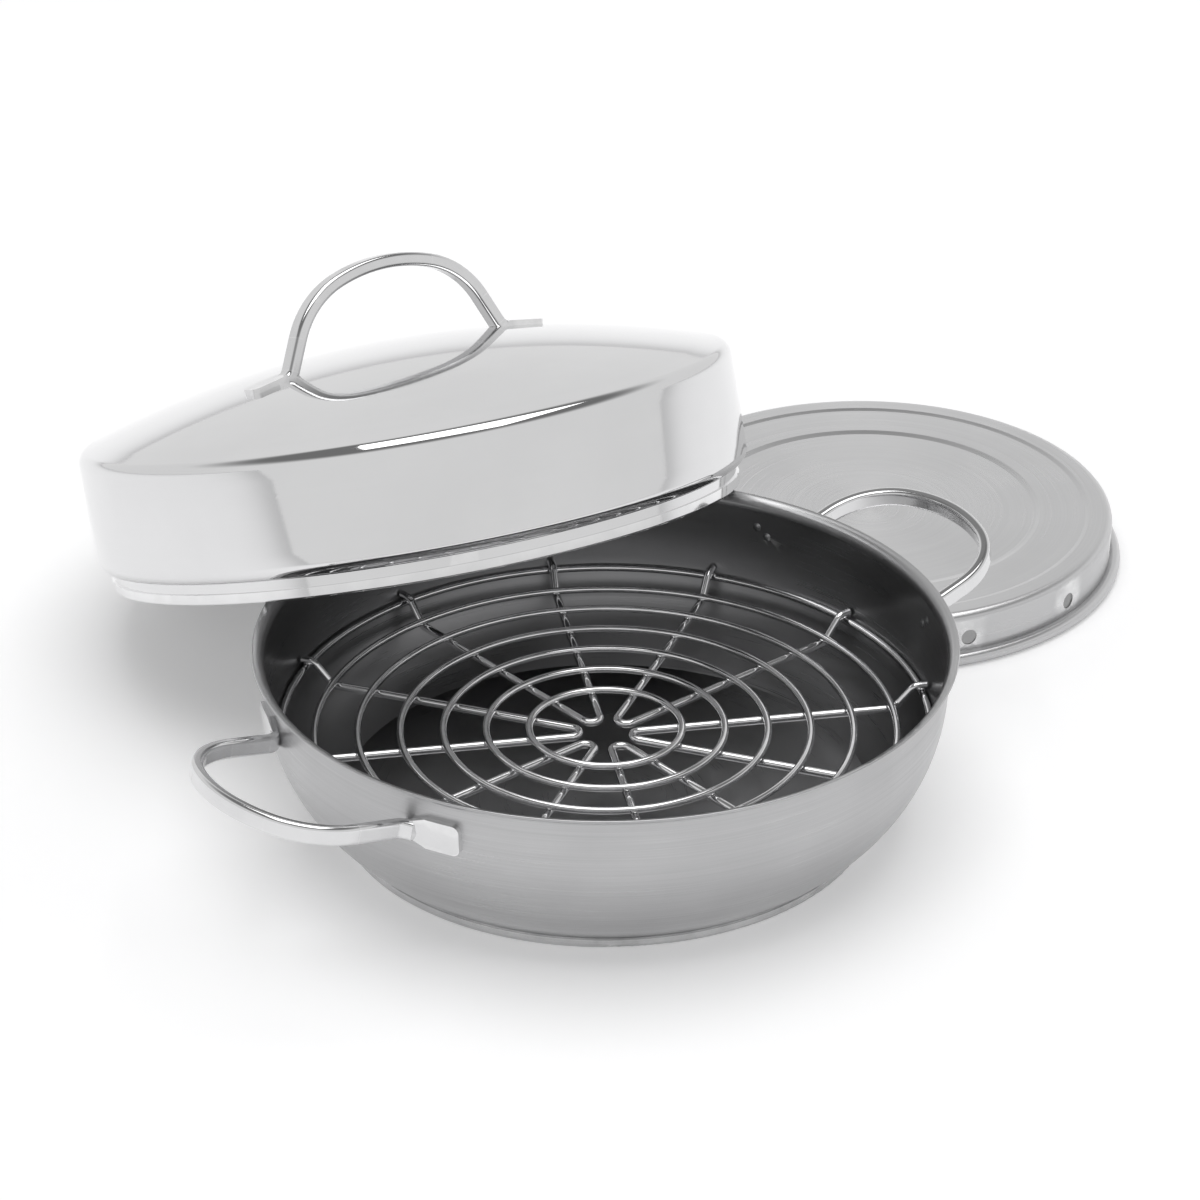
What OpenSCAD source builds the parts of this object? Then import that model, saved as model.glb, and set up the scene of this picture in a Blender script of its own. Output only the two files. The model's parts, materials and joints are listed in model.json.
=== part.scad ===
// Round stovetop smoker set in stainless steel: a curved pan with a bonded
// heat-spreading base and two welded strap handles, a wire food rack that
// drops inside it, a drilled drip disc and a tall domed lid with an arch
// handle. The pieces stand as displayed: rack in the pan, lid leaning on the
// rim with its far edge on the table, disc on the table behind.
// Units are millimetres. The table is z = 0 and the pan stands on the origin.

/* [Pan] */
// Outside radius of the pouring lip
rim_r = 140; // [120:0.5:170]
// Height of the lip above the table
pan_h = 76.2; // [60:0.1:110]
// Thickness of the pan's steel
pan_t = 1; // [0.6:0.1:2]
// Outside radius of the upright part of the wall
wall_r = 136; // [116:0.5:166]
// Radius of the curve from wall to floor
bowl_r = 72; // [50:0.5:90]
// Height where the curve turns into the upright wall
bowl_z = 62; // [50:0.5:90]
// Outside radius of the base disc
base_r = 107.7; // [90:0.1:130]
// Height of the base cladding's edge
base_h = 3.8; // [2:0.1:8]
// Thickness of the base cladding
clad_t = 0.7; // [0.4:0.1:1.5]

/* [Pan handles] */
// Direction of the handle pair
grip_az = 39.1; // [0:0.1:90]
// Height of the handle where it meets the wall
grip_z = 60.2; // [45:0.1:70]
// Upward slope of the loop
grip_tilt = 13.9; // [0:0.1:30]
// Height of the strap
grip_h = 7.6; // [5:0.1:14]
// Thickness of the strap
grip_t = 4.8; // [3:0.1:8]
// Radius of the loop's outer front
grip_front = 57.6; // [45:0.1:90]
// Radius of the loop's corners
grip_corner = 30.5; // [15:0.1:45]
// Half of the distance between the corner centres
grip_half = 10.5; // [4:0.1:25]
// Distance of the corner centres from the wall
grip_out = 17.6; // [5:0.1:40]
// Height of the middle of the welded pads
pad_z = 59; // [45:0.5:68]
// Height of a welded pad
pad_h = 13; // [8:0.5:25]
// Thickness of a welded pad
pad_t = 2.5; // [1.5:0.1:5]

/* [Rack] */
// Wire thickness of the rings
ring_d = 3; // [2:0.1:5]
// Wire thickness of the hairpins
pin_d = 3.4; // [2:0.1:5]
// Height of the ring centres
ring_z = 36.1; // [25:0.1:50]
// Radius of the innermost ring
ring_first = 30.6; // [20:0.1:45]
// Distance from ring to ring
ring_step = 17.15; // [10:0.05:25]
// Radius of the outer support ring
hoop_r = 129.4; // [110:0.1:150]
// Height of the outer support ring
hoop_z = 39.3; // [30:0.1:55]
// Turn of the whole rack
rack_az = -5; // [-30:1:30]
// How near the hairpin bends come to the middle
pin_in = 10.7; // [6:0.1:20]
// Reach of the wire ends
pin_out = 131.3; // [110:0.1:150]

/* [Lid] */
// Radius of the closed rim on the lid's edge
lid_r = 134.4; // [115:0.1:160]
// Height of the closed rim
lid_rim_h = 4.4; // [3:0.1:8]
// Radius of the bulge above the rim
bulge_r = 139.2; // [120:0.1:165]
// Height of the bulge's widest line
bulge_z = 14.5; // [10:0.1:25]
// Height where the shoulder starts
lid_wall = 54.5; // [30:0.5:90]
// Shoulder radius
lid_round = 5; // [2:0.5:15]
// Rise of the domed top
dome_h = 21.5; // [5:0.5:40]
// Thickness of the lid's steel
lid_t = 0.8; // [0.5:0.1:1.5]
// Where the leaning lid's edge circle is centred
lid_at = [-75.2, 145.2, 48.3]; // [-200:0.1:200]
// Lean of the lid
lid_lean = 21.04; // [0:0.01:45]
// Direction in which the lid leans
lid_az = 117.38; // [0:0.01:360]

/* [Lid handle] */
// Direction of the arch, seen along the lid's axis
arch_az = 36.5; // [0:0.5:180]
// Height of the arch's outer top above the lid's edge
arch_top = 118.9; // [100:0.1:150]
// Width of the strap
arch_w = 8; // [6:0.1:18]
// Thickness of the strap
arch_t = 5.8; // [3:0.1:8]

/* [Drip disc] */
// Outside radius of the rolled edge
disc_r = 110.2; // [80:0.1:125]
// Radius of the skirt at the top
disc_top_r = 106; // [76:0.1:120]
// Height of the disc
disc_h = 23.3; // [12:0.1:35]
// Thickness of the disc's steel
disc_t = 0.9; // [0.5:0.1:1.5]
// Radius of the rolled edge
bead_r = 2.9; // [1.5:0.1:5]
// Diameter of a smoke hole
hole_d = 7; // [4:0.1:12]
// Turn of the row of holes
hole_az = -9.2; // [-30:0.1:30]
// Height of the smoke holes
hole_z = 11.8; // [6:0.1:18]
// Radius of the top's outer step
step_out = 96; // [80:0.5:100]
// Radius of the top's inner step
step_in = 73; // [40:0.5:90]
// Number of smoke holes round the skirt
holes = 12; // [4:1:24]
// Where the disc lies
disc_at = [116, 217, 0]; // [-300:1:300]

/* [Hidden] */
gap = 0.04;
skin = 0.02;
lip_r = rim_r - wall_r;
wall_top = pan_h - lip_r - pan_t;
lip_end = pan_t / 2 + 0.02;
bowl_c = wall_r - bowl_r;
floor_z = base_h + 0.4;
core_r = base_r - clad_t;
pin_z = ring_z - (ring_d + pin_d) / 2 + 0.1;
end_z = hoop_z + (ring_d + pin_d) / 2 - 0.1;
pin_turn = 15;
hair_s = pin_in / (1 - sin(pin_turn));
hair_r = hair_s * sin(pin_turn);
slope = 48;
bend = 4;
dome_base = lid_wall + lid_round;
dome_edge = bulge_r - lid_round;
dome_r = (dome_edge * dome_edge + dome_h * dome_h) / (2 * dome_h);
neck_r = lid_r - 1;
steel = [0.72, 0.72, 0.73];
bright = [0.85, 0.85, 0.86];
alu = [0.78, 0.79, 0.8];

// Filled half section of the pan up to a given depth below its outside face
module pan_half(t) {
  r = bowl_r - t;
  low = floor_z + t;
  intersection() {
    translate([bowl_c, bowl_z]) circle(r, $fn = 240);
    translate([bowl_c, low]) square([r + 1, bowl_z - low]);
  }
  translate([0, low]) square([bowl_c, bowl_z - low]);
  translate([0, bowl_z]) square([wall_r - t, wall_top - bowl_z]);
  difference() {
    translate([0, wall_top]) square([rim_r - lip_end, lip_r + pan_t]);
    translate([rim_r, wall_top]) circle(lip_r + t, $fn = 120);
  }
}

// Wall, floor and flared lip, whose edge is rounded
module pan_section() {
  difference() {
    pan_half(0);
    pan_half(pan_t);
  }
  translate([rim_r - lip_end, wall_top + lip_r + pan_t / 2 - 0.03])
    circle(lip_end, $fn = 32);
}

module pan_solid() {
  rotate_extrude($fn = 180) pan_half(0);
}

// Two small weld marks behind each pad show on the inside of the wall
module weld_marks() {
  for (side = [0, 180], way = [-1, 1], k = [-1, 1])
    rotate([0, 0, grip_az + side + way * (21.9 + k)])
      translate([wall_r - pan_t + 2.2, 0, 62 + k * 1.8])
        sphere(2.9, $fn = 40);
}

module pan_shell() {
  color(steel)
    difference() {
      union() {
        rotate_extrude($fn = 180) pan_section();
        intersection() {
          weld_marks();
          pan_solid();
        }
      }
    }
}

// Aluminium disc that spreads the heat, bonded between floor and cladding
module base_core() {
  color(alu)
    translate([0, 0, clad_t])
      cylinder(h = floor_z - clad_t, r = core_r, $fn = 180);
}

// Steel cup that closes the aluminium in, with a rounded lower edge
module base_cap() {
  edge = 1.4;
  color(bright)
    rotate_extrude($fn = 180)
      difference() {
        union() {
          square([base_r - edge, edge]);
          translate([0, edge]) square([base_r, base_h - edge]);
          intersection() {
            translate([base_r - edge, edge]) circle(edge, $fn = 48);
            square([base_r + 1, edge]);
          }
        }
        translate([0, clad_t]) square([core_r, base_h]);
      }
}

// Strap section: a flat bar with rounded edges, standing on its radius
module strap(t, h, round) {
  translate([-t / 2 + round, -h / 2]) square([t - 2 * round, h]);
  translate([-t / 2, -h / 2 + round]) square([t, h - 2 * round]);
  for (x = [-1, 1], y = [-1, 1])
    translate([x * (t / 2 - round), y * (h / 2 - round)])
      circle(round, $fn = 24);
}

// Part of a ring of strap, centred on the origin
module strap_arc(r, from, turn, t, h, round) {
  rotate([0, 0, from])
    rotate_extrude(angle = turn, $fn = 120)
      translate([r, 0]) strap(t, h, round);
}

// Straight strap of a given length along +X, a hair short at both ends
module strap_bar(len, t, h, round) {
  translate([gap, 0, 0])
    rotate([90, 0, 90])
      linear_extrude(len - 2 * gap) strap(t, h, round);
}

// Short sleeve that joins two runs of strap, on the origin and along +X
module strap_joint(t, h, round) {
  translate([-0.3, 0, 0])
    rotate([90, 0, 90])
      linear_extrude(0.6) strap(t + 2 * skin, h + 2 * skin, round + skin);
}

// Loop of a pan handle in its own plane, wall at x = 0
module grip_loop() {
  round = 1.7;
  lead = asin(grip_half / (grip_front - grip_corner));
  back = grip_out - grip_half / tan(lead);
  foot = 7;
  leg = grip_half + grip_corner;
  turn = 66;
  translate([back, 0, 0])
    strap_arc(grip_front, gap - lead, 2 * (lead - gap), grip_t, grip_h, round);
  for (m = [0, 1])
    mirror([0, m, 0]) {
      translate([grip_out, grip_half, 0])
        strap_arc(grip_corner, lead, 90 - lead, grip_t, grip_h, round);
      translate([back, 0, 0])
        rotate([0, 0, lead])
          translate([grip_front, 0, 0])
            rotate([0, 0, 90]) strap_joint(grip_t, grip_h, round);
      translate([grip_out, leg, 0]) strap_joint(grip_t, grip_h, round);
      translate([-1, leg, 0]) strap_joint(grip_t, grip_h, round);
      translate([-1, leg, 0])
        strap_bar(grip_out + 1, grip_t, grip_h, round);
      translate([-1, leg + foot, 0])
        strap_arc(foot, -90 - turn, turn, grip_t, grip_h, round);
    }
}

// Outline of a pad, seen from outside, with the strap's end at x = 0
module pad_outline() {
  r = 3;
  end = 14;
  neck = grip_h / 2;
  polygon([[-7.5, -neck], [-0.5, -pad_h / 2], [end - r, -pad_h / 2],
    [end, -pad_h / 2 + r], [end, pad_h / 2 - r], [end - r, pad_h / 2],
    [-0.5, pad_h / 2], [-7.5, neck]]);
  for (y = [-1, 1])
    translate([end - r, y * (pad_h / 2 - r)]) circle(r, $fn = 32);
}

// Flattened strap end, bent to the wall and welded on
module pad() {
  rotate([0, 0, 21.5])
    translate([wall_r - 8, 0, pad_z])
      rotate([90, 0, 90])
        linear_extrude(16) pad_outline();
}

module handle() {
  difference() {
    union() {
      translate([137, 0, grip_z])
        rotate([0, -grip_tilt, 0]) grip_loop();
      intersection() {
        union() {
          pad();
          mirror([0, 1, 0]) pad();
        }
        rotate_extrude($fn = 180)
          intersection() {
            union() {
              translate([bowl_c, bowl_z]) circle(bowl_r + pad_t, $fn = 240);
              translate([bowl_c, bowl_z]) square([bowl_r + pad_t, 12]);
            }
            translate([110, 40]) square([40, 34]);
          }
      }
    }
    pan_solid();
  }
}

module handle_right() {
  color(bright) rotate([0, 0, grip_az]) handle();
}

module handle_left() {
  color(bright) rotate([0, 0, grip_az + 180]) handle();
}

// One closed ring of wire
module wire_ring(r, z) {
  color(bright)
    translate([0, 0, z])
      rotate_extrude($fn = 180)
        translate([r, 0]) circle(ring_d / 2, $fn = 32);
}

module rack_ring(i) {
  wire_ring(ring_first + (i - 1) * ring_step, ring_z);
}

// Straight wire along +X
module wire(len) {
  translate([gap, 0, 0])
    rotate([0, 90, 0]) cylinder(h = len - 2 * gap, r = pin_d / 2, $fn = 32);
}

// Ball that joins two runs of wire
module wire_joint(x, z) {
  translate([x, 0, z]) sphere(pin_d / 2 + skin, $fn = 32);
}

// Bent wire round the origin, from the +X side on
module wire_arc(r, from, turn) {
  rotate([0, 0, from])
    rotate_extrude(angle = turn, $fn = 96)
      translate([r, 0]) circle(pin_d / 2, $fn = 32);
}

// One arm along +X: level run, two bends up over the support ring, blunt end
module pin_arm() {
  from = hair_s * cos(pin_turn);
  rise = end_z - pin_z;
  tan_len = bend * tan(slope / 2);
  climb = rise / sin(slope);
  run = rise / tan(slope);
  knee = pin_out - 3.2 - tan_len - run;
  translate([from, 0, pin_z]) wire(knee - tan_len - from);
  translate([knee - tan_len, 0, pin_z + bend])
    rotate([90, 0, 0]) wire_arc(bend, -90, slope);
  translate([knee + tan_len * cos(slope), 0, pin_z + tan_len * sin(slope)])
    rotate([0, -slope, 0]) wire(climb - 2 * tan_len);
  translate([knee + run + tan_len, 0, end_z - bend])
    rotate([90, 0, 0]) wire_arc(bend, 90, slope);
  translate([knee + run + tan_len, 0, end_z])
    wire(pin_out - knee - run - tan_len);
  wire_joint(from, pin_z);
  wire_joint(knee - tan_len, pin_z);
  wire_joint(knee + tan_len * cos(slope), pin_z + tan_len * sin(slope));
  wire_joint(knee + run - tan_len * cos(slope), end_z - tan_len * sin(slope));
  wire_joint(knee + run + tan_len, end_z);
}

// Hairpin: two arms joined by a tight bend close to the middle of the rack
module hairpin(i) {
  color(bright)
    rotate([0, 0, rack_az + (i - 1) * 60]) {
      rotate([0, 0, pin_turn]) pin_arm();
      rotate([0, 0, -pin_turn]) pin_arm();
      translate([hair_s, 0, pin_z])
        wire_arc(hair_r, 90 + pin_turn, 180 - 2 * pin_turn);
    }
}

// Filled half section of the lid, inset by the steel's thickness
module lid_half(t) {
  r = 6;
  low = bulge_z - r + t;
  translate([0, -1]) square([neck_r - t, bulge_z + 1]);
  intersection() {
    translate([bulge_r - r, bulge_z]) circle(r - t, $fn = 64);
    translate([bulge_r - r, bulge_z - r]) square([r, r]);
  }
  translate([0, low]) square([bulge_r - r, bulge_z - low]);
  translate([0, bulge_z]) square([bulge_r - t, lid_wall - bulge_z]);
  translate([0, lid_wall]) square([dome_edge, lid_round - t]);
  intersection() {
    translate([dome_edge, lid_wall]) circle(lid_round - t, $fn = 64);
    translate([dome_edge, lid_wall]) square(lid_round);
  }
  intersection() {
    translate([0, dome_base + dome_h - dome_r]) circle(dome_r - t, $fn = 720);
    translate([0, dome_base - t]) square([dome_edge + 1, dome_h + 2]);
  }
}

module lid_solid() {
  rotate_extrude($fn = 180) lid_half(0);
}

module lid_section() {
  difference() {
    lid_half(0);
    lid_half(lid_t);
    translate([0, -2]) square([lid_r, 3]);
  }
}

// Puts the lid's own frame where the lid leans
module lean() {
  translate(lid_at)
    rotate([0, 0, lid_az])
      rotate([0, lid_lean, 0])
        rotate([0, 0, -lid_az])
          children();
}

module lid_shell() {
  color(bright)
    lean()
      rotate_extrude($fn = 180) lid_section();
}

// Folded channel that closes the lid's lower edge
module lid_rim() {
  wall = 0.95;
  foot = 1;
  color(bright)
    lean()
      rotate_extrude($fn = 180)
        difference() {
          union() {
            translate([neck_r - lid_t - wall, foot])
              square([lid_r - neck_r + lid_t + wall, lid_rim_h - foot]);
            translate([neck_r - lid_t - wall + foot, 0])
              square([lid_r - neck_r + lid_t + wall - 2 * foot, lid_rim_h]);
            for (x = [neck_r - lid_t - wall + foot, lid_r - foot])
              translate([x, foot]) circle(foot, $fn = 32);
          }
          translate([neck_r - lid_t, foot])
            square([lid_t, lid_rim_h]);
        }
}

// Arch of the lid handle in the X-Y plane, Y up from the lid's edge
module arch() {
  round = 1.8;
  big = 74.6;
  mid = 38.7;
  small = 6;
  half = 18.1;
  leg = 63.9;
  fall = 9;
  run = 13.91;
  top = arch_top - arch_t / 2;
  bx = (big - mid) * sin(half);
  by = top - big + (big - mid) * cos(half);
  lx = bx + mid * sin(leg);
  ly = by + mid * cos(leg);
  fx = lx + run * cos(leg);
  fy = ly - run * sin(leg);
  cx = fx + small * sin(leg);
  cy = fy + small * cos(leg);
  translate([0, top - big, 0])
    strap_arc(big, 90 - half + gap, 2 * (half - gap), arch_t, arch_w, round);
  for (m = [0, 1])
    mirror([m, 0, 0]) {
      translate([0, top - big, 0])
        rotate([0, 0, 90 - half])
          translate([big, 0, 0])
            rotate([0, 0, 90]) strap_joint(arch_t, arch_w, round);
      translate([lx, ly, 0])
        rotate([0, 0, -leg]) strap_joint(arch_t, arch_w, round);
      translate([fx, fy, 0])
        rotate([0, 0, -leg]) strap_joint(arch_t, arch_w, round);
      translate([bx, by, 0])
        strap_arc(mid, 90 - leg, leg - half, arch_t, arch_w, round);
      translate([lx, ly, 0])
        rotate([0, 0, -leg]) strap_bar(run, arch_t, arch_w, round);
      translate([cx, cy, 0])
        strap_arc(small, 270 - leg, leg - fall, arch_t, arch_w, round);
      translate([cx - small * sin(fall), cy - small * cos(fall), 0])
        rotate([0, 0, -fall]) arch_foot();
    }
}

// Flattened foot, wider and thinner than the strap
module arch_foot() {
  t = 2.4;
  w = 11;
  len = 17;
  drop = arch_t / 2 - t;
  translate([0, drop - 2.35, 0])
    rotate([-90, 0, 0])
      linear_extrude(t + 2.3) {
        polygon([[-1, 0.1 - arch_w / 2], [5, -w / 2], [len - 3, -w / 2],
          [len, -w / 2 + 3], [len, w / 2 - 3], [len - 3, w / 2],
          [5, w / 2], [-1, arch_w / 2 - 0.1]]);
        for (y = [-1, 1])
          translate([len - 3, y * (w / 2 - 3)]) circle(3, $fn = 32);
      }
}

module lid_handle() {
  color(bright)
    lean()
      difference() {
        rotate([0, 0, arch_az])
          rotate([90, 0, 0]) arch();
        lid_solid();
      }
}

// Two shallow steps that lower the middle of the top
module disc_steps(t) {
  fall = 0.5;
  top = disc_h - t;
  polygon([[-1, top - 2 * fall], [step_in - 1.5, top - 2 * fall],
    [step_in + 1.5, top - fall], [step_out - 2, top - fall],
    [step_out, top], [step_out, disc_h + 1], [-1, disc_h + 1]]);
}

// Filled half section of the disc, inset by the steel's thickness
module disc_half(t) {
  r = 3.5;
  skirt_low = disc_r - 2 * bead_r + 1.2;
  difference() {
    union() {
      intersection() {
        translate([disc_top_r - r, disc_h - r]) circle(r - t, $fn = 48);
        translate([disc_top_r - r, disc_h - r]) square(r);
      }
      polygon([[0, bead_r], [skirt_low - t, bead_r],
        [disc_top_r - t, disc_h - r], [0, disc_h - r]]);
      translate([0, disc_h - r]) square([disc_top_r - r, r - t]);
    }
    disc_steps(t);
  }
}

// Stepped top, flared skirt and rolled edge
module disc_section() {
  difference() {
    disc_half(0);
    disc_half(disc_t);
  }
  difference() {
    translate([disc_r - bead_r, bead_r]) circle(bead_r, $fn = 48);
    translate([disc_r - bead_r, bead_r]) circle(bead_r - disc_t, $fn = 48);
  }
}

module drip_disc() {
  color(steel)
    translate(disc_at)
      difference() {
        rotate_extrude($fn = 180) disc_section();
        for (i = [0:holes - 1])
          rotate([0, 0, i * 360 / holes + hole_az])
            translate([disc_top_r - 8, 0, hole_z])
              rotate([0, 90, 0]) cylinder(h = 16, d = hole_d, $fn = 40);
      }
}

pan_shell();
base_core();
base_cap();
handle_left();
handle_right();
rack_ring(1);  // ring_1
rack_ring(2);  // ring_2
rack_ring(3);  // ring_3
rack_ring(4);  // ring_4
rack_ring(5);  // ring_5
rack_ring(6);  // ring_6
wire_ring(hoop_r, hoop_z);  // ring_7
hairpin(1);  // hairpin_1
hairpin(2);  // hairpin_2
hairpin(3);  // hairpin_3
hairpin(4);  // hairpin_4
hairpin(5);  // hairpin_5
hairpin(6);  // hairpin_6
lid_shell();
lid_rim();
lid_handle();
drip_disc();
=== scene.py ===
import bpy
import json
import math
from mathutils import Matrix, Vector


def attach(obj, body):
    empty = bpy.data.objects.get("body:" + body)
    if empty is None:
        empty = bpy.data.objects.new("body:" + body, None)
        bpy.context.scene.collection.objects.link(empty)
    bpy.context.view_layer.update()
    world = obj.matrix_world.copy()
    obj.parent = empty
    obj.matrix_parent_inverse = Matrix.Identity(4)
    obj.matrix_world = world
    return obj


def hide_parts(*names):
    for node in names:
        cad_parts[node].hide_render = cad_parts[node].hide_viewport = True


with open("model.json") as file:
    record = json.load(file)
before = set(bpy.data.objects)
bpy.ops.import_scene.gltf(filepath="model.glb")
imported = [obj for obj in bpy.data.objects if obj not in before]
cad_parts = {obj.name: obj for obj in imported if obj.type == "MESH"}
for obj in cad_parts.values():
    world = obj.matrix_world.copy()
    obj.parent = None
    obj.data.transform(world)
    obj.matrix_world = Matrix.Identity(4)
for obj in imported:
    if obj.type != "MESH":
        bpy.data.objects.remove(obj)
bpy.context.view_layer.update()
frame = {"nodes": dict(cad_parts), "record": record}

cadNodes = frame["nodes"]

view = {
    "place": (-0.0022, -1.7578, 1.0480),
    "right": (1.0, -0.00075, -0.00138),
    "up": (0.00157, 0.477, 0.8789),
    "lens": 152.3,             # on a 36 mm sensor
}

studio = {
    "floorColour": (0.93, 0.93, 0.935, 1.0),
    "floorGlow": 0.21,         # the floor is lit a little from within, like a light table
    "halfWidth": 6.0,
    "lowGrey": 0.84,           # the room near the horizon
    "highGrey": 0.2,           # the room overhead
    "darkFrom": 0.44,          # sine of the height where the room starts to darken
    "darkTo": 0.76,
    "topPower": 41.0,
    "topPlace": (0.1, 0.1, 2.6),
    "topTarget": (0, 0.1, 0),
    "topSize": (2.6, 2.2),
}


def makeObject(name, mesh):
    obj = bpy.data.objects.new(name, mesh)
    bpy.context.scene.collection.objects.link(obj)
    return obj


def makeCamera():
    data = bpy.data.cameras.new("viewCamera")
    data.lens = view["lens"]
    data.sensor_width = 36.0
    data.clip_end = 40.0
    camera = makeObject("viewCamera", data)
    right = Vector(view["right"]).normalized()
    up = Vector(view["up"])
    up = (up - right * up.dot(right)).normalized()
    turn = Matrix((right, up, right.cross(up))).transposed().to_4x4()
    camera.matrix_world = Matrix.Translation(view["place"]) @ turn
    bpy.context.scene.camera = camera


def makeFloor():
    half = studio["halfWidth"]
    mesh = bpy.data.meshes.new("studioFloor")
    corners = [(-half, -half, 0), (half, -half, 0), (half, half, 0), (-half, half, 0)]
    mesh.from_pydata(corners, [], [(0, 1, 2, 3)])
    mat = bpy.data.materials.new("paleFloor")
    mat.use_nodes = True
    shader = mat.node_tree.nodes["Principled BSDF"]
    shader.inputs["Base Color"].default_value = studio["floorColour"]
    shader.inputs["Roughness"].default_value = 0.9
    shader.inputs["Specular IOR Level"].default_value = 0.1
    shader.inputs["Emission Color"].default_value = (1, 1, 1, 1)
    shader.inputs["Emission Strength"].default_value = studio["floorGlow"]
    mesh.materials.append(mat)
    makeObject("studioFloor", mesh)


def makeLight(name, place, target, size, power):
    data = bpy.data.lights.new(name, "AREA")
    data.shape = "RECTANGLE"
    data.size, data.size_y = size
    data.energy = power
    light = makeObject(name, data)
    light.location = place
    aim = Vector(target) - Vector(place)
    light.rotation_euler = aim.to_track_quat("-Z", "Y").to_euler()


def makeWorld():
    # a pale room that darkens overhead, so that polished steel has something to show
    world = bpy.data.worlds.new("studioWorld")
    bpy.context.scene.world = world
    world.use_nodes = True
    tree = world.node_tree
    place = tree.nodes.new("ShaderNodeTexCoord")
    split = tree.nodes.new("ShaderNodeSeparateXYZ")
    tree.links.new(place.outputs["Generated"], split.inputs[0])
    height = tree.nodes.new("ShaderNodeMapRange")
    height.interpolation_type = "SMOOTHSTEP"
    for label, key in (("From Min", "darkFrom"), ("From Max", "darkTo"), ("To Min", "lowGrey"), ("To Max", "highGrey")):
        height.inputs[label].default_value = studio[key]
    tree.links.new(split.outputs[2], height.inputs["Value"])
    tree.links.new(height.outputs["Result"], tree.nodes["Background"].inputs["Color"])


makeCamera()
makeFloor()
makeWorld()
makeLight("topLight", studio["topPlace"], studio["topTarget"], studio["topSize"], studio["topPower"])
bpy.context.scene.view_settings.view_transform = "Standard"
print("studio ready")


def addGroup(name, inputs, outputs):
    group = bpy.data.node_groups.new(name, "ShaderNodeTree")
    for label, kind, value in inputs:
        socket = group.interface.new_socket(label, in_out="INPUT", socket_type=kind)
        if value is not None:
            socket.default_value = value
    for label, kind in outputs:
        group.interface.new_socket(label, in_out="OUTPUT", socket_type=kind)
    return group, group.nodes.new("NodeGroupInput"), group.nodes.new("NodeGroupOutput")


def addMath(tree, operation, a, b=None, clamp=False):
    node = tree.nodes.new("ShaderNodeMath")
    node.operation = operation
    node.use_clamp = clamp
    for socket, value in zip(node.inputs, (a, b)):
        if value is None:
            continue
        if isinstance(value, (int, float)):
            socket.default_value = value
        else:
            tree.links.new(value, socket)
    return node.outputs[0]


def addRange(tree, value, fromLow, fromHigh, toLow, toHigh, smooth=False):
    node = tree.nodes.new("ShaderNodeMapRange")
    node.interpolation_type = "SMOOTHSTEP" if smooth else "LINEAR"
    for label, number in (("From Min", fromLow), ("From Max", fromHigh), ("To Min", toLow), ("To Max", toHigh)):
        if isinstance(number, (int, float)):
            node.inputs[label].default_value = number
        else:
            tree.links.new(number, node.inputs[label])
    tree.links.new(value, node.inputs["Value"])
    return node.outputs["Result"]


def addNoise(tree, vector, scale, detail, roughness, w=None):
    node = tree.nodes.new("ShaderNodeTexNoise")
    node.noise_dimensions = "4D" if w is not None else "3D"
    node.inputs["Detail"].default_value = detail
    node.inputs["Roughness"].default_value = roughness
    tree.links.new(vector, node.inputs["Vector"])
    if isinstance(scale, (int, float)):
        node.inputs["Scale"].default_value = scale
    else:
        tree.links.new(scale, node.inputs["Scale"])
    if w is not None:
        tree.links.new(w, node.inputs["W"])
    return node.outputs["Fac"]


def makeTurnedGrain():
    # fine lines that run round an axis, as a polishing belt leaves on a spinning blank
    tree, start, end = addGroup("turnedGrain", [
        ("Vector", "NodeSocketVector", None),
        ("Lines", "NodeSocketFloat", 2200.0),
        ("Break", "NodeSocketFloat", 3.0)],
        [("Grain", "NodeSocketFloat"), ("Band", "NodeSocketFloat")])
    split = tree.nodes.new("ShaderNodeSeparateXYZ")
    tree.links.new(start.outputs["Vector"], split.inputs[0])
    x, y, z = split.outputs
    squares = addMath(tree, "ADD", addMath(tree, "MULTIPLY", x, x), addMath(tree, "MULTIPLY", y, y))
    radius = addMath(tree, "SQRT", squares)
    safe = addMath(tree, "MAXIMUM", radius, 0.0005)
    cosine, sine = addMath(tree, "DIVIDE", x, safe), addMath(tree, "DIVIDE", y, safe)
    lines, breaks = start.outputs["Lines"], start.outputs["Break"]
    join = tree.nodes.new("ShaderNodeCombineXYZ")
    tree.links.new(addMath(tree, "MULTIPLY", radius, lines), join.inputs[0])
    tree.links.new(addMath(tree, "MULTIPLY", z, lines), join.inputs[1])
    tree.links.new(addMath(tree, "MULTIPLY", cosine, breaks), join.inputs[2])
    w = addMath(tree, "MULTIPLY", sine, breaks)
    grain = addNoise(tree, join.outputs[0], 1.0, 3.0, 0.6, w)
    wide = tree.nodes.new("ShaderNodeVectorMath")
    wide.operation = "MULTIPLY"
    tree.links.new(join.outputs[0], wide.inputs[0])
    wide.inputs[1].default_value = (0.12, 0.12, 0.5)
    band = addNoise(tree, wide.outputs[0], 1.0, 2.0, 0.5, w)
    tree.links.new(grain, end.inputs["Grain"])
    tree.links.new(band, end.inputs["Band"])
    return tree


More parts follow.
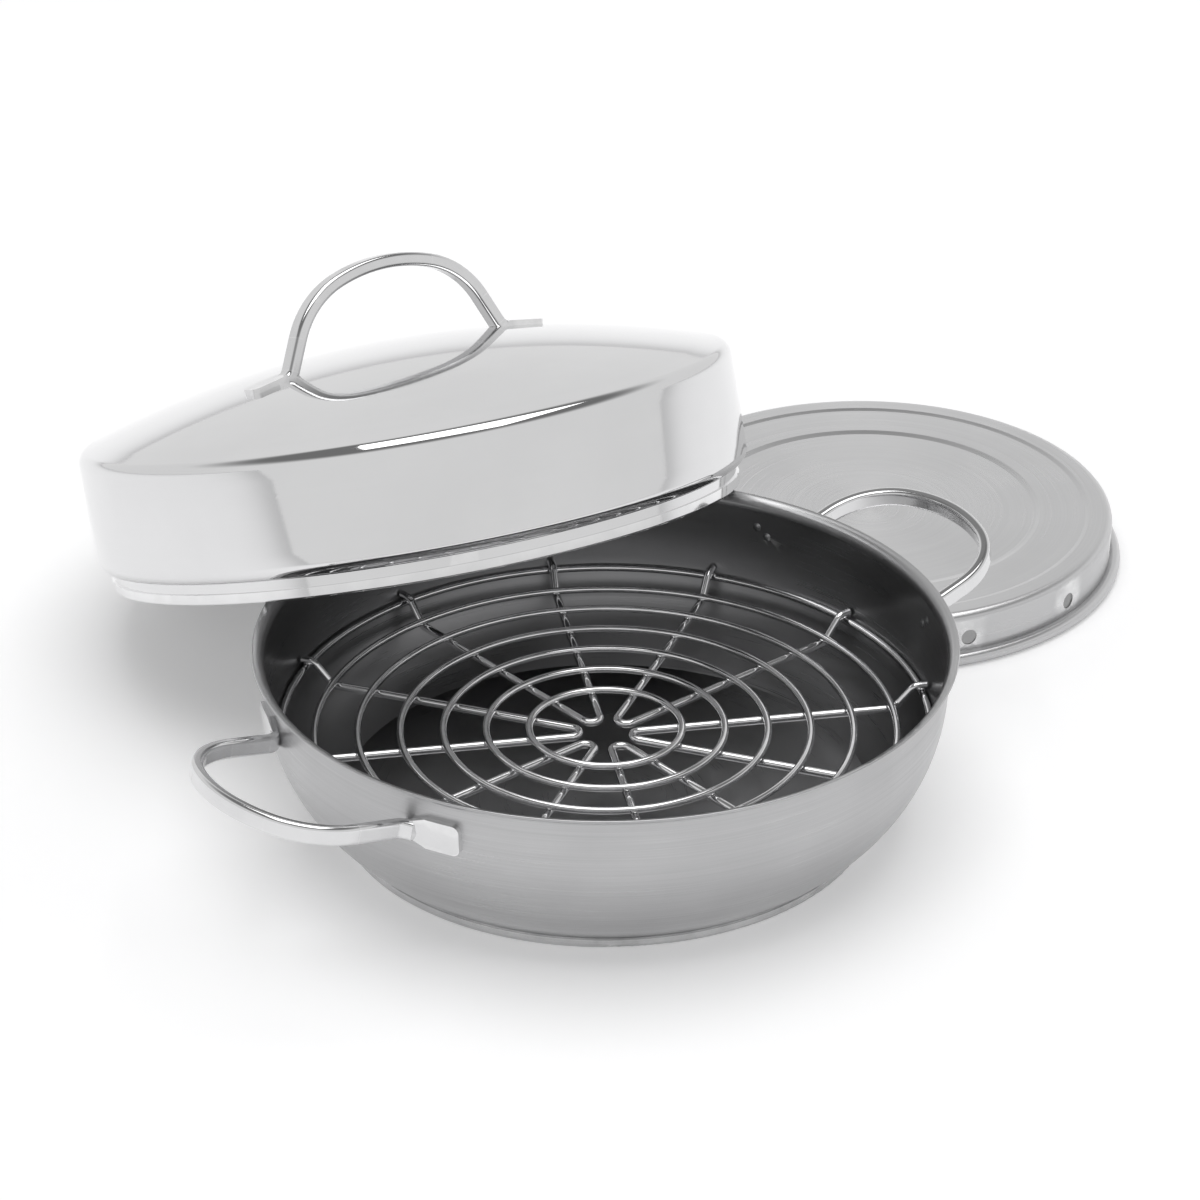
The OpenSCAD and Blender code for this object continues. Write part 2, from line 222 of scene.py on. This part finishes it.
def makeHandling():
    # soft wiping patches and a few hairline scratches
    tree, start, end = addGroup("handlingMarks", [
        ("Vector", "NodeSocketVector", None),
        ("Patch Scale", "NodeSocketFloat", 18.0),
        ("Hairline Scale", "NodeSocketFloat", 26.0)],
        [("Patch", "NodeSocketFloat"), ("Hairline", "NodeSocketFloat")])
    patch = addNoise(tree, start.outputs["Vector"], start.outputs["Patch Scale"], 4.0, 0.55)
    patch = addRange(tree, patch, 0.35, 0.7, 0.0, 1.0, True)
    lines = None
    for turn in (0.0, 1.1, 2.2):
        bend = tree.nodes.new("ShaderNodeMapping")
        bend.inputs["Rotation"].default_value = (0.4 * turn, 0.7 * turn, turn)
        bend.inputs["Scale"].default_value = (1.0, 0.22, 0.6)
        tree.links.new(start.outputs["Vector"], bend.inputs["Vector"])
        field = addNoise(tree, bend.outputs[0], start.outputs["Hairline Scale"], 1.0, 0.4)
        away = addMath(tree, "ABSOLUTE", addMath(tree, "SUBTRACT", field, 0.5))
        line = addRange(tree, away, 0.0, 0.004, 1.0, 0.0)
        lines = line if lines is None else addMath(tree, "MAXIMUM", lines, line)
    thin = addNoise(tree, start.outputs["Vector"], 60.0, 2.0, 0.5)
    lines = addMath(tree, "MULTIPLY", lines, addRange(tree, thin, 0.5, 0.62, 0.0, 1.0, True))
    tree.links.new(patch, end.inputs["Patch"])
    tree.links.new(lines, end.inputs["Hairline"])
    return tree


def makeEdgeWear():
    # edges that rub are a little brighter and smoother
    tree, start, end = addGroup("edgeWear", [
        ("Vector", "NodeSocketVector", None),
        ("Amount", "NodeSocketFloat", 1.0)],
        [("Wear", "NodeSocketFloat")])
    shape = tree.nodes.new("ShaderNodeNewGeometry")
    edge = addRange(tree, shape.outputs["Pointiness"], 0.51, 0.58, 0.0, 1.0, True)
    broken = addRange(tree, addNoise(tree, start.outputs["Vector"], 90.0, 3.0, 0.6), 0.35, 0.65, 0.3, 1.0)
    wear = addMath(tree, "MULTIPLY", addMath(tree, "MULTIPLY", edge, broken), start.outputs["Amount"])
    tree.links.new(wear, end.inputs["Wear"])
    return tree


turnedGrain = makeTurnedGrain()
handlingMarks = makeHandling()
edgeWear = makeEdgeWear()


def addUse(tree, group, vector, **values):
    node = tree.nodes.new("ShaderNodeGroup")
    node.node_tree = group
    tree.links.new(vector, node.inputs["Vector"])
    for label, value in values.items():
        node.inputs[label.replace("_", " ")].default_value = value
    return node.outputs


def mixColour(tree, factor, a, b):
    node = tree.nodes.new("ShaderNodeMix")
    node.data_type = "RGBA"
    tree.links.new(factor, node.inputs["Factor"])
    for socket, value in ((node.inputs[6], a), (node.inputs[7], b)):
        if isinstance(value, tuple):
            socket.default_value = (*value, 1.0)
        else:
            tree.links.new(value, socket)
    return node.outputs[2]


def pieceVector(tree, centre, turn):
    # coordinates in the piece's own frame, so that its grain runs round its own axis
    place = tree.nodes.new("ShaderNodeTexCoord").outputs["Object"]
    if centre is None:
        return place
    shift = tree.nodes.new("ShaderNodeMapping")
    shift.vector_type = "TEXTURE"
    shift.inputs["Location"].default_value = centre
    shift.inputs["Rotation"].default_value = turn
    tree.links.new(place, shift.inputs["Vector"])
    return shift.outputs[0]


def makeSteel(name, look, centre=None, turn=(0, 0, 0)):
    mat = bpy.data.materials.new(name)
    mat.use_nodes = True
    tree = mat.node_tree
    shader = tree.nodes["Principled BSDF"]
    vector = pieceVector(tree, centre, turn)
    marks = addUse(tree, handlingMarks, vector, Patch_Scale=look["patchScale"], Hairline_Scale=look["hairScale"])
    wear = addUse(tree, edgeWear, vector, Amount=look["wear"])["Wear"]
    colour = mixColour(tree, marks["Patch"], look["colour"], look["patchColour"])
    rough = addRange(tree, marks["Patch"], 0.0, 1.0, look["rough"], look["rough"] + look["patchRough"])
    height = addMath(tree, "MULTIPLY", marks["Hairline"], -look["hairDepth"])
    if look.get("lines"):
        grain = addUse(tree, turnedGrain, vector, Lines=look["lines"], Break=look["break"])
        tone = addRange(tree, grain["Grain"], 0.3, 0.7, 0.0, look["grainTone"])
        colour = mixColour(tree, tone, colour, look["grainColour"])
        tone = addRange(tree, grain["Band"], 0.3, 0.7, 0.0, look["bandTone"])
        colour = mixColour(tree, tone, colour, look["grainColour"])
        streak = addRange(tree, grain["Grain"], 0.3, 0.7, -look["grainRough"], look["grainRough"])
        rough = addMath(tree, "ADD", rough, streak)
        height = addMath(tree, "ADD", height, addMath(tree, "MULTIPLY", grain["Grain"], look["grainDepth"]))
    if look.get("inside"):
        # painted shade: faces that look towards the pan's axis, below the rim, get a much darker colour, which stands
        # in for the shade and dark reflections inside the pan
        geometry = tree.nodes.new("ShaderNodeNewGeometry")
        flat = tree.nodes.new("ShaderNodeVectorMath")
        flat.operation = "MULTIPLY"
        tree.links.new(vector, flat.inputs[0])
        flat.inputs[1].default_value = (1.0, 1.0, 0.0)
        unit = tree.nodes.new("ShaderNodeVectorMath")
        unit.operation = "NORMALIZE"
        tree.links.new(flat.outputs[0], unit.inputs[0])
        dot = tree.nodes.new("ShaderNodeVectorMath")
        dot.operation = "DOT_PRODUCT"
        tree.links.new(unit.outputs[0], dot.inputs[0])
        tree.links.new(geometry.outputs["Normal"], dot.inputs[1])
        insideShadeMask = addRange(tree, dot.outputs["Value"], -0.02, 0.12, 1.0, 0.0, True)
        split = tree.nodes.new("ShaderNodeSeparateXYZ")
        tree.links.new(vector, split.inputs[0])
        below = addRange(tree, split.outputs[2], 0.0715, 0.0745, 1.0, 0.0, True)
        insideShadeMask = addMath(tree, "MULTIPLY", insideShadeMask, below)
        colour = mixColour(tree, insideShadeMask, colour, look["inside"])
    if look.get("skirt"):
        # painted shade: the steep side faces, whose normals point little upwards, get a darker colour than the top
        geometry = tree.nodes.new("ShaderNodeNewGeometry")
        split = tree.nodes.new("ShaderNodeSeparateXYZ")
        tree.links.new(geometry.outputs["Normal"], split.inputs[0])
        side = addRange(tree, split.outputs[2], 0.3, 0.8, 1.0, 0.0, True)
        colour = mixColour(tree, side, colour, look["skirt"])
    colour = mixColour(tree, wear, colour, look["wearColour"])
    rough = addMath(tree, "SUBTRACT", rough, addMath(tree, "MULTIPLY", wear, 0.04), clamp=True)
    tree.links.new(colour, shader.inputs["Base Color"])
    tree.links.new(rough, shader.inputs["Roughness"])
    shader.inputs["Metallic"].default_value = 1.0
    bump = tree.nodes.new("ShaderNodeBump")
    bump.inputs["Strength"].default_value = 1.0
    bump.inputs["Distance"].default_value = 0.001
    tree.links.new(height, bump.inputs["Height"])
    tree.links.new(bump.outputs["Normal"], shader.inputs["Normal"])
    if look.get("anisotropy"):
        shader.inputs["Anisotropic"].default_value = look["anisotropy"]
        tangent = tree.nodes.new("ShaderNodeTangent")
        tangent.direction_type = "RADIAL"
        tangent.axis = "Z"
        tree.links.new(tangent.outputs[0], shader.inputs["Tangent"])
    return mat


panLook = {
    "colour": (0.52, 0.52, 0.525), "patchColour": (0.485, 0.485, 0.49), "grainColour": (0.38, 0.38, 0.385),
    "wearColour": (0.8, 0.8, 0.8), "rough": 0.30, "patchRough": 0.05, "grainRough": 0.05,
    "grainTone": 0.45, "bandTone": 0.1, "lines": 2200.0, "break": 1.6, "grainDepth": 0.008,
    "hairDepth": 0.01, "patchScale": 16.0, "hairScale": 22.0, "wear": 0.8, "anisotropy": 0.6,
    # the much darker inside colour is painted shade for the pan's interior
    "inside": (0.25, 0.25, 0.255),
}
baseLook = dict(panLook, colour=(0.66, 0.66, 0.665), rough=0.24, lines=2600.0, inside=None)
coreLook = dict(panLook, colour=(0.77, 0.78, 0.79), rough=0.4, lines=2600.0, inside=None)
lidLook = {
    "colour": (0.75, 0.75, 0.755), "patchColour": (0.72, 0.72, 0.725), "grainColour": (0.65, 0.65, 0.65),
    "wearColour": (0.92, 0.92, 0.92), "rough": 0.045, "patchRough": 0.025, "grainRough": 0.008,
    "grainTone": 0.06, "bandTone": 0.05, "lines": 1800.0, "break": 2.0, "grainDepth": 0.0008,
    "hairDepth": 0.0015, "patchScale": 14.0, "hairScale": 20.0, "wear": 0.5,
}
strapLook = {
    "colour": (0.72, 0.72, 0.725), "patchColour": (0.69, 0.69, 0.695), "wearColour": (0.88, 0.88, 0.88),
    "rough": 0.085, "patchRough": 0.05, "hairDepth": 0.004, "patchScale": 60.0, "hairScale": 70.0, "wear": 0.7,
}
wireLook = dict(strapLook, colour=(0.8, 0.8, 0.805), rough=0.07, patchScale=90.0)
discLook = {
    "colour": (0.74, 0.74, 0.745), "patchColour": (0.71, 0.71, 0.715), "grainColour": (0.6, 0.6, 0.605),
    "wearColour": (0.88, 0.88, 0.88), "rough": 0.27, "patchRough": 0.05, "grainRough": 0.04,
    "grainTone": 0.25, "bandTone": 0.12, "lines": 1500.0, "break": 0.5, "grainDepth": 0.004,
    # the darker skirt colour is painted shade on the disc's steep sides
    "skirt": (0.52, 0.52, 0.525),
    "hairDepth": 0.006, "patchScale": 14.0, "hairScale": 20.0, "wear": 0.7, "anisotropy": 0.5,
}

lidPlace = {"centre": (-0.0752, 0.1452, 0.0483), "lean": 21.04, "azimuth": 117.38}
discPlace = (0.116, 0.217, 0.0)


def lidMatrix():
    azimuth, lean = math.radians(lidPlace["azimuth"]), math.radians(lidPlace["lean"])
    spin = Matrix.Rotation(azimuth, 4, "Z")
    return Matrix.Translation(lidPlace["centre"]) @ spin @ Matrix.Rotation(lean, 4, "Y") @ spin.inverted()


lidTurn = lidMatrix().to_euler("XYZ")   # the lid's grain runs round the lid's own axis
steels = {
    "brushed_pan": makeSteel("brushedPan", panLook),
    "brushed_base": makeSteel("brushedBase", baseLook),
    "aluminium_core": makeSteel("aluminiumCore", coreLook),
    "polished_strap": makeSteel("polishedStrap", strapLook),
    "polished_wire": makeSteel("polishedWire", wireLook),
    "polished_lid": makeSteel("polishedLid", lidLook, lidPlace["centre"], lidTurn),
    "satin_disc": makeSteel("satinDisc", discLook, discPlace),
}
print("steels ready")


def revolve(name, loop, steps, place, mat):
    # spins a closed loop of (radius, height) in mm round the Z axis
    rings, points, faces = [], [], []
    for x, z in loop:
        if x < 1e-6:
            rings.append([len(points)] * steps)
            points.append((0.0, 0.0, z / 1000))
            continue
        rings.append(list(range(len(points), len(points) + steps)))
        for k in range(steps):
            a = 2 * math.pi * k / steps
            points.append((x * math.cos(a) / 1000, x * math.sin(a) / 1000, z / 1000))
    count = len(rings)
    for i in range(count):
        a, b = rings[i], rings[(i + 1) % count]
        for k in range(steps):
            m = (k + 1) % steps
            quad = []
            for v in (a[k], a[m], b[m], b[k]):
                if v not in quad:
                    quad.append(v)
            if len(quad) > 2:
                faces.append(quad)
    mesh = bpy.data.meshes.new(name)
    mesh.from_pydata(points, [], faces)
    mesh.transform(place)
    mesh.shade_smooth()
    mesh.set_sharp_from_angle(angle=math.radians(35))
    mesh.materials.append(mat)
    obj = makeObject(name, mesh)
    return obj


lidShape = {                   # mm and degrees, the same values as the CAD source
    "neck": 133.4,
    "bulge": 139.2, "bulgeHeight": 14.5, "bulgeRound": 6.0,
    "wallTop": 54.5, "shoulderRound": 5.0,
    "domeRadius": 429.57, "domeCentre": -348.57,
    "thick": 0.8, "hem": 1.0,
    # not in the CAD: the shoulder stops at this angle and runs straight on to the dome,
    # which leaves out a slight crease and moves the surface by at most 0.19 mm
    "shoulderEnd": 75.0, "domeStart": 130.0,
    "steps": 288,              # points in each ring
}


def lidLine(q, depth):
    # the lid's outside from its hem to its middle, or its inside when depth is the sheet's thickness
    line = [(q["neck"] - depth, q["hem"]), (q["neck"] - depth, q["bulgeHeight"] - q["bulgeRound"] + depth)]
    for k in range(25):
        a = math.radians(-88 + 88 * k / 24)
        x = q["bulge"] - q["bulgeRound"] + (q["bulgeRound"] - depth) * math.cos(a)
        line.append((x, q["bulgeHeight"] + (q["bulgeRound"] - depth) * math.sin(a)))
    for k in range(1, 8):
        line.append((q["bulge"] - depth, q["bulgeHeight"] + (q["wallTop"] - q["bulgeHeight"]) * k / 8))
    for k in range(25):
        a = math.radians(q["shoulderEnd"] * k / 24)
        x = q["bulge"] - q["shoulderRound"] + (q["shoulderRound"] - depth) * math.cos(a)
        line.append((x, q["wallTop"] + (q["shoulderRound"] - depth) * math.sin(a)))
    for k in range(49):
        x = q["domeStart"] * (1 - k / 48)
        line.append((x, q["domeCentre"] + math.sqrt((q["domeRadius"] - depth) ** 2 - x ** 2)))
    return line


def makeLid():
    loop = lidLine(lidShape, 0.0) + lidLine(lidShape, lidShape["thick"])[::-1]
    lid = revolve("lidShell", loop, lidShape["steps"], lidMatrix(), steels["polished_lid"])
    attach(lid, "lid")
    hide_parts("lid_shell")


makeLid()
print("lid ready")

for part in frame["record"]["subparts"]:
    obj = cadNodes[part["node"]]
    obj.data.materials.clear()
    obj.data.materials.append(steels[part["material_slot"]])
